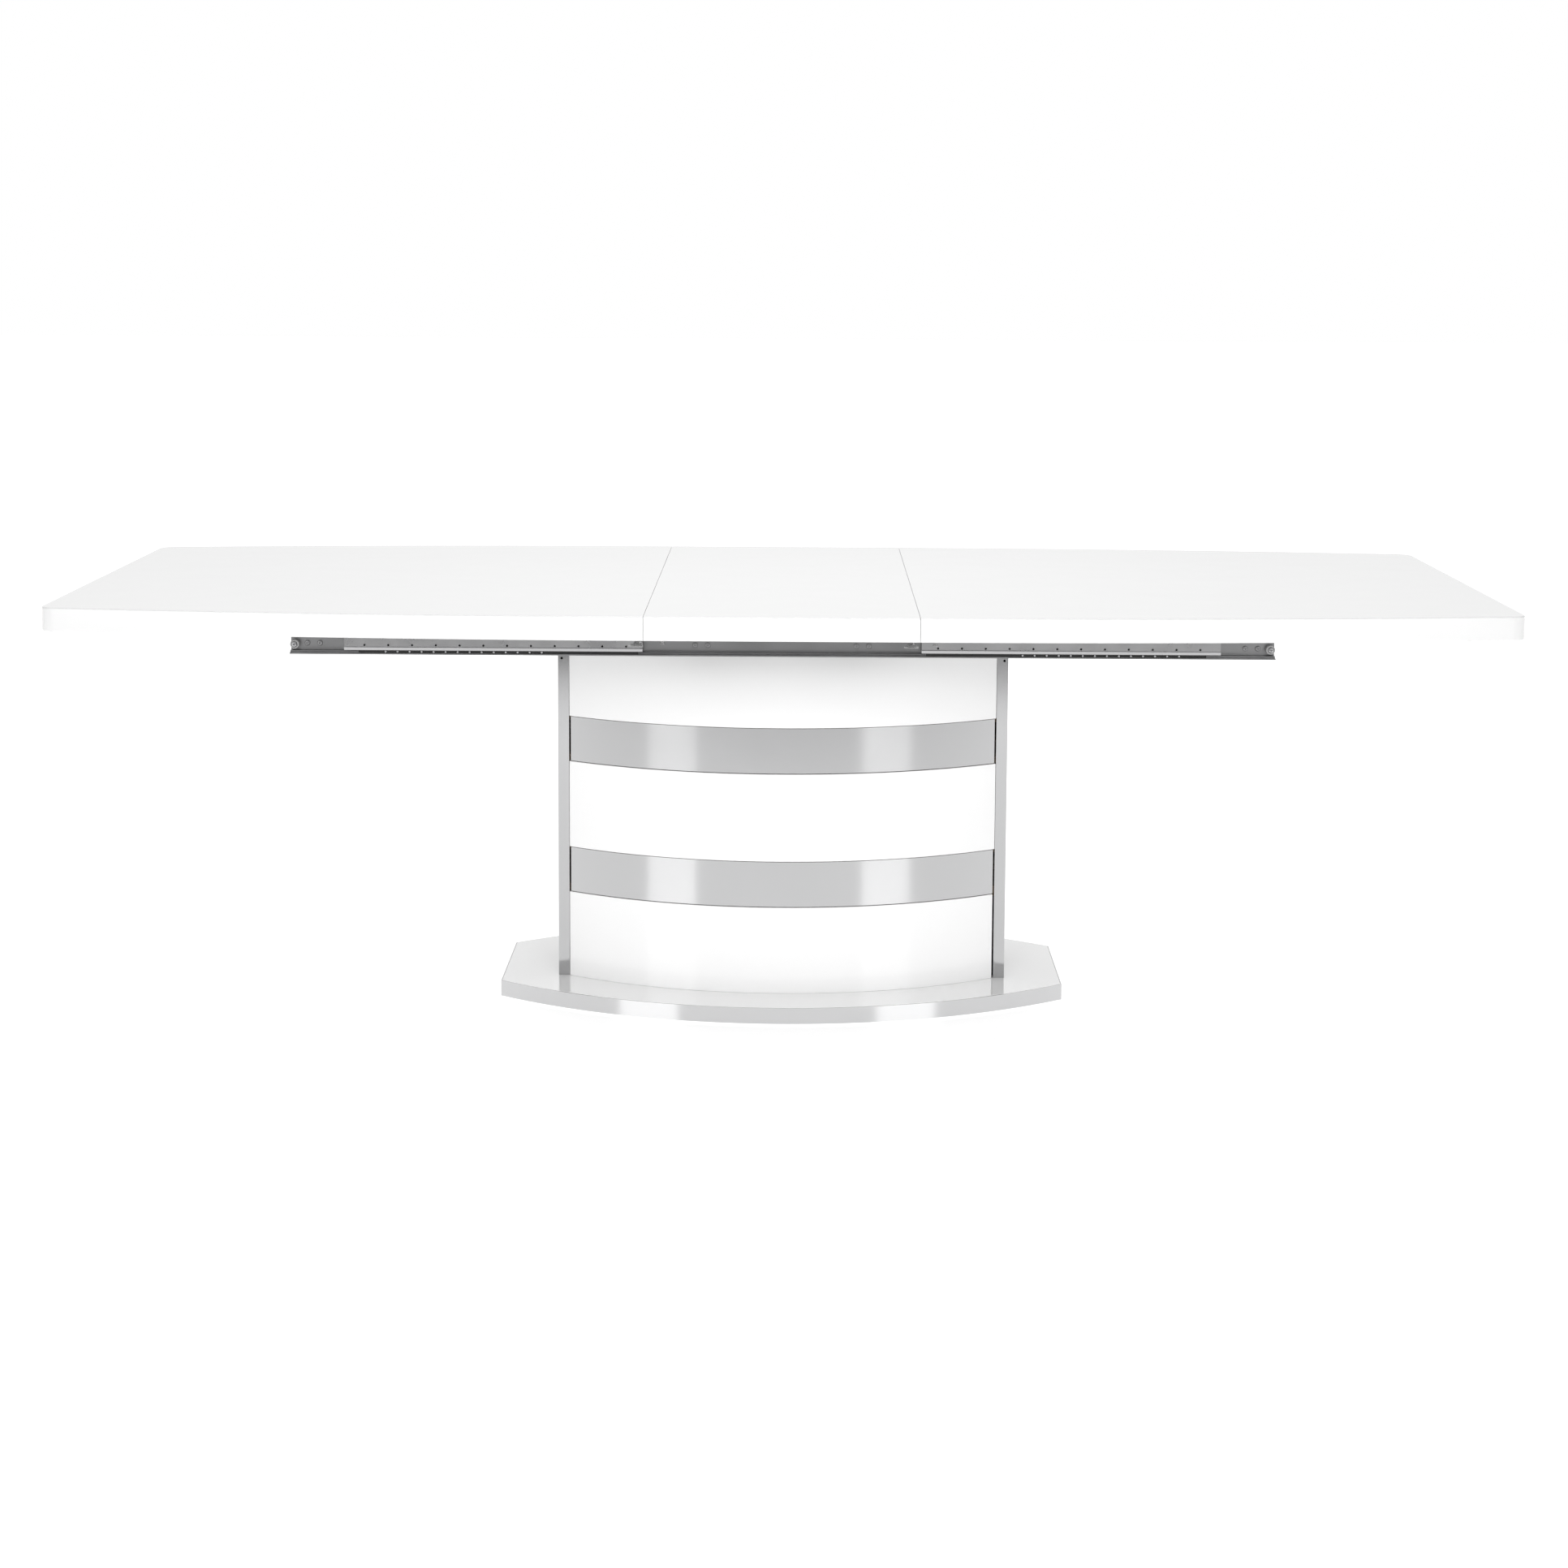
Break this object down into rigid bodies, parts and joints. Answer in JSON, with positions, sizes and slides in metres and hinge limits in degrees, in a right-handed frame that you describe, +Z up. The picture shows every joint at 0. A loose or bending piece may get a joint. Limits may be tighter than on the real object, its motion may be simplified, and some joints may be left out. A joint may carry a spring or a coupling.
{
  "type": "extendable dining table",
  "caption": "White gloss pedestal dining table with bowed column and base, steel bands, ball slides and a lift-out leaf.",
  "frame": {"origin": "on the floor under the middle of the table", "axes": "+Z up, +X along the table's length, -Y the front"},
  "size_m": [2.45, 1, 0.74],
  "materials": {
    "top_lacquer": "high gloss white lacquer on board",
    "white_lacquer": "high gloss white lacquer on board",
    "polished_steel": "polished stainless steel",
    "black_steel": "black powder coat",
    "raw_board": "raw board, sawn edges",
    "rail_steel": "drawn zinc-plated steel",
    "slide_zinc": "drawn anodised aluminium",
    "zinc_plate": "bright zinc plate",
    "soft_bumper": "grey rubber",
    "black_plastic": "black moulded plastic",
    "bright_fixings": "bright plated steel"
  },
  "bodies": {
    "pedestal": {"base_board": "white_lacquer", "base_edge_band": "polished_steel", "ballast_plates": "black_steel", "base_glides": "soft_bumper", "foot_plate": "black_steel", "foot_bolts": "bright_fixings", "left_post": "polished_steel", "right_post": "polished_steel", "core_uprights": "black_steel", "column_ribs": "raw_board", "column_top_plate": "black_steel", "front_lower_panel": "white_lacquer", "front_middle_panel": "white_lacquer", "front_upper_panel": "white_lacquer", "rear_lower_panel": "white_lacquer", "rear_middle_panel": "white_lacquer", "rear_upper_panel": "white_lacquer", "front_lower_band": "polished_steel", "front_upper_band": "polished_steel", "rear_lower_band": "polished_steel", "rear_upper_band": "polished_steel", "centre_bearers": "black_steel", "end_ties": "black_steel", "bearer_inserts": "zinc_plate", "bearer_bolts": "bright_fixings", "front_long_rail": "rail_steel", "rear_long_rail": "rail_steel", "rail_screws": "bright_fixings", "rail_bumpers": "soft_bumper", "bumper_bolts": "bright_fixings"},
    "left_top": {"left_top": "top_lacquer", "front_left_slide": "slide_zinc", "rear_left_slide": "slide_zinc", "left_slide_stops": "black_plastic", "left_tongues": "zinc_plate", "left_top_screws": "bright_fixings", "left_seam_pivots": "zinc_plate"},
    "right_top": {"right_top": "top_lacquer", "front_right_slide": "slide_zinc", "rear_right_slide": "slide_zinc", "right_slide_stops": "black_plastic", "right_tongues": "zinc_plate", "right_top_screws": "bright_fixings", "right_seam_keepers": "zinc_plate"},
    "leaf": {"leaf": "top_lacquer", "left_seam_keepers": "zinc_plate", "right_seam_pivots": "zinc_plate", "leaf_screws": "bright_fixings"},
    "left_cages": {"left_ball_cages": "black_plastic", "left_balls": "bright_fixings"},
    "right_cages": {"right_ball_cages": "black_plastic", "right_balls": "bright_fixings"},
    "front_left_hook": {"front_left_hook": "zinc_plate"},
    "rear_left_hook": {"rear_left_hook": "zinc_plate"},
    "front_right_hook": {"front_right_hook": "zinc_plate"},
    "rear_right_hook": {"rear_right_hook": "zinc_plate"}
  },
  "joints": [
    {"name": "left_slide", "type": "slide", "parent": "pedestal", "child": "left_top", "axis": [-1, 0, 0], "range_m": [0, 0.074]},
    {"name": "right_slide", "type": "slide", "parent": "pedestal", "child": "right_top", "axis": [1, 0, 0], "range_m": [0, 0.074]},
    {"name": "leaf_lift", "type": "slide", "parent": "pedestal", "child": "leaf", "axis": [0, 0, 1], "range_m": [0, 0.3]},
    {"name": "left_cage_roll", "type": "slide", "parent": "pedestal", "child": "left_cages", "axis": [-1, 0, 0], "range_m": [0, 0.037]},
    {"name": "right_cage_roll", "type": "slide", "parent": "pedestal", "child": "right_cages", "axis": [1, 0, 0], "range_m": [0, 0.037]},
    {"name": "front_left_catch", "type": "hinge", "parent": "left_top", "child": "front_left_hook", "pos_m": [-0.237, -0.426, 0.688], "axis": [0, 0, -1], "range_deg": [-90, 0]},
    {"name": "rear_left_catch", "type": "hinge", "parent": "left_top", "child": "rear_left_hook", "pos_m": [-0.237, 0.426, 0.688], "axis": [0, 0, 1], "range_deg": [-90, 0]},
    {"name": "front_right_catch", "type": "hinge", "parent": "leaf", "child": "front_right_hook", "pos_m": [0.213, -0.426, 0.688], "axis": [0, 0, -1], "range_deg": [-90, 0]},
    {"name": "rear_right_catch", "type": "hinge", "parent": "leaf", "child": "rear_right_hook", "pos_m": [0.213, 0.426, 0.688], "axis": [0, 0, 1], "range_deg": [-90, 0]}
  ],
  "couplings": [
    {"joint": "left_cage_roll", "follows": "left_slide", "ratio": 0.5},
    {"joint": "right_cage_roll", "follows": "right_slide", "ratio": 0.5}
  ]
}
